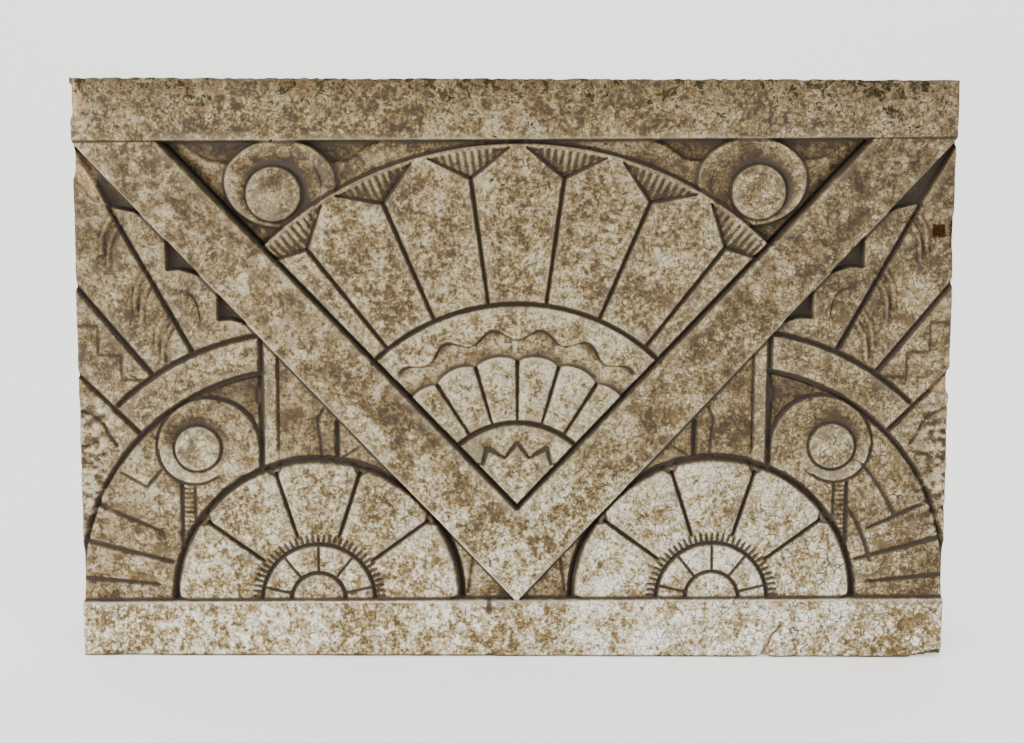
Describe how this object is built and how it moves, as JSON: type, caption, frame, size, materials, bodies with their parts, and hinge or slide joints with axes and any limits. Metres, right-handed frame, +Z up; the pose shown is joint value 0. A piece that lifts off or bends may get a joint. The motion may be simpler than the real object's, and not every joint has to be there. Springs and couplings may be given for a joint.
{
  "type": "terracotta frieze panel",
  "caption": "Glazed terracotta frieze block with a low-relief fan in a V, ringed bosses, half-round sunbursts and plain rails, with an open-celled back.",
  "frame": {"origin": "middle of the underside, half way between face and back", "axes": "+X along the panel to the viewer's right, +Y from the carved face to the back, +Z up"},
  "size_m": [0.61, 0.102, 0.406],
  "materials": {
    "glazed_terracotta": "satin mottled glaze, crazed and weathered, unglazed behind"
  },
  "bodies": {
    "root": {"frieze_panel": "glazed_terracotta"}
  },
  "joints": []
}
